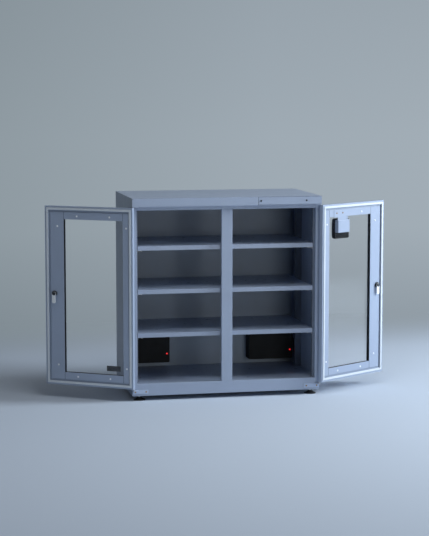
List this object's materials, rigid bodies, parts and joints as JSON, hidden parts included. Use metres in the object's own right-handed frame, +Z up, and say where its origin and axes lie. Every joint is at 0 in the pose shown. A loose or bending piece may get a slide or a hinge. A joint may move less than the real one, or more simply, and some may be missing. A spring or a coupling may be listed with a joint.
{
  "type": "desiccator cabinet",
  "caption": "Free-standing dry-storage cabinet with two glazed steel doors standing open, folded shelves, rear drying units, a door-mounted humidity display and levelling feet.",
  "frame": {"origin": "on the floor, at the centre of the bounding box with both doors open as at rest", "axes": "+Z up; +Y from the door side to the back panel; +X to the right of someone facing the cabinet's front"},
  "size_m": [2.207, 0.7002, 1.264],
  "materials": {
    "body_paint": "pale blue-grey powder coat, fine satin texture",
    "steel": "bright zinc-plated steel",
    "yellow_zinc": "yellow-passivated zinc plate",
    "black_plastic": "moulded black plastic, fine satin",
    "red_lamp": "tinted red indicator lens, unlit",
    "glass": "clear tempered glass with a slight grey tint",
    "black_rubber": "matt black rubber",
    "grey_gasket": "soft pale grey magnetic sealing strip",
    "display": "smoked display window, off"
  },
  "bodies": {
    "cabinet": {"left_side_panel": "body_paint", "right_side_panel": "body_paint", "back_panel": "body_paint", "top_cover": "body_paint", "header_fascia": "body_paint", "header_access_cover": "body_paint", "header_fasteners": "steel", "top_jamb": "body_paint", "floor_pan": "body_paint", "base_rail": "body_paint", "base_frame": "body_paint", "centre_mullion": "body_paint", "shelf_uprights": "body_paint", "left_upper_shelf": "body_paint", "left_middle_shelf": "body_paint", "left_lower_shelf": "body_paint", "right_upper_shelf": "body_paint", "right_middle_shelf": "body_paint", "right_lower_shelf": "body_paint", "shelf_clips": "steel", "left_dryer_housing": "black_plastic", "right_dryer_housing": "black_plastic", "dryer_covers": "black_plastic", "dryer_lamps": "red_lamp", "lower_hinge_brackets": "body_paint", "upper_hinge_brackets": "body_paint", "hinge_pins": "yellow_zinc", "bracket_screws": "yellow_zinc", "foot_stems": "steel", "foot_locknuts": "steel", "power_inlet": "black_plastic"},
    "left_door": {"left_door_pan": "body_paint", "left_door_stiles": "body_paint", "left_door_rails": "body_paint", "left_door_glass": "glass", "left_glazing_seal": "black_rubber", "left_door_gasket": "grey_gasket", "left_door_screws": "steel", "left_latch_body": "black_plastic"},
    "right_door": {"right_door_pan": "body_paint", "right_door_stiles": "body_paint", "right_door_rails": "body_paint", "right_door_glass": "glass", "right_glazing_seal": "black_rubber", "right_door_gasket": "grey_gasket", "right_door_screws": "steel", "right_latch_body": "black_plastic", "sensor_bracket": "body_paint", "sensor_box": "body_paint", "display_housing": "black_plastic", "display_window": "display", "sensor_screws": "yellow_zinc"},
    "left_latch": {"left_latch_handle": "black_plastic", "left_latch_cam": "steel"},
    "right_latch": {"right_latch_handle": "black_plastic", "right_latch_cam": "steel"},
    "front_left_foot": {"front_left_foot": "black_rubber"},
    "front_right_foot": {"front_right_foot": "black_rubber"},
    "rear_left_foot": {"rear_left_foot": "black_rubber"},
    "rear_right_foot": {"rear_right_foot": "black_rubber"}
  },
  "joints": [
    {"name": "left_door_hinge", "type": "hinge", "parent": "cabinet", "child": "left_door", "pos_m": [-0.595, -0.32891, 0.6445], "axis": [0, 0, 1], "range_deg": [-27, 213]},
    {"name": "right_door_hinge", "type": "hinge", "parent": "cabinet", "child": "right_door", "pos_m": [0.595, -0.32891, 0.6445], "axis": [0, 0, 1], "range_deg": [-213, 27]},
    {"name": "left_latch_turn", "type": "hinge", "parent": "left_door", "child": "left_latch", "pos_m": [-1.03539, -0.03577, 0.658], "axis": [0.5446, 0.8387, 0], "range_deg": [0, 90]},
    {"name": "right_latch_turn", "type": "hinge", "parent": "right_door", "child": "right_latch", "pos_m": [1.03539, -0.03577, 0.658], "axis": [0.5446, -0.8387, 0], "range_deg": [0, 90]},
    {"name": "front_left_foot_swivel", "type": "hinge", "parent": "cabinet", "child": "front_left_foot", "pos_m": [-0.551, -0.25891, 0.014], "axis": [0, 0, 1], "continuous": true},
    {"name": "front_right_foot_swivel", "type": "hinge", "parent": "cabinet", "child": "front_right_foot", "pos_m": [0.551, -0.25891, 0.014], "axis": [0, 0, 1], "continuous": true},
    {"name": "rear_left_foot_swivel", "type": "hinge", "parent": "cabinet", "child": "rear_left_foot", "pos_m": [-0.551, 0.27409, 0.014], "axis": [0, 0, 1], "continuous": true},
    {"name": "rear_right_foot_swivel", "type": "hinge", "parent": "cabinet", "child": "rear_right_foot", "pos_m": [0.551, 0.27409, 0.014], "axis": [0, 0, 1], "continuous": true}
  ]
}
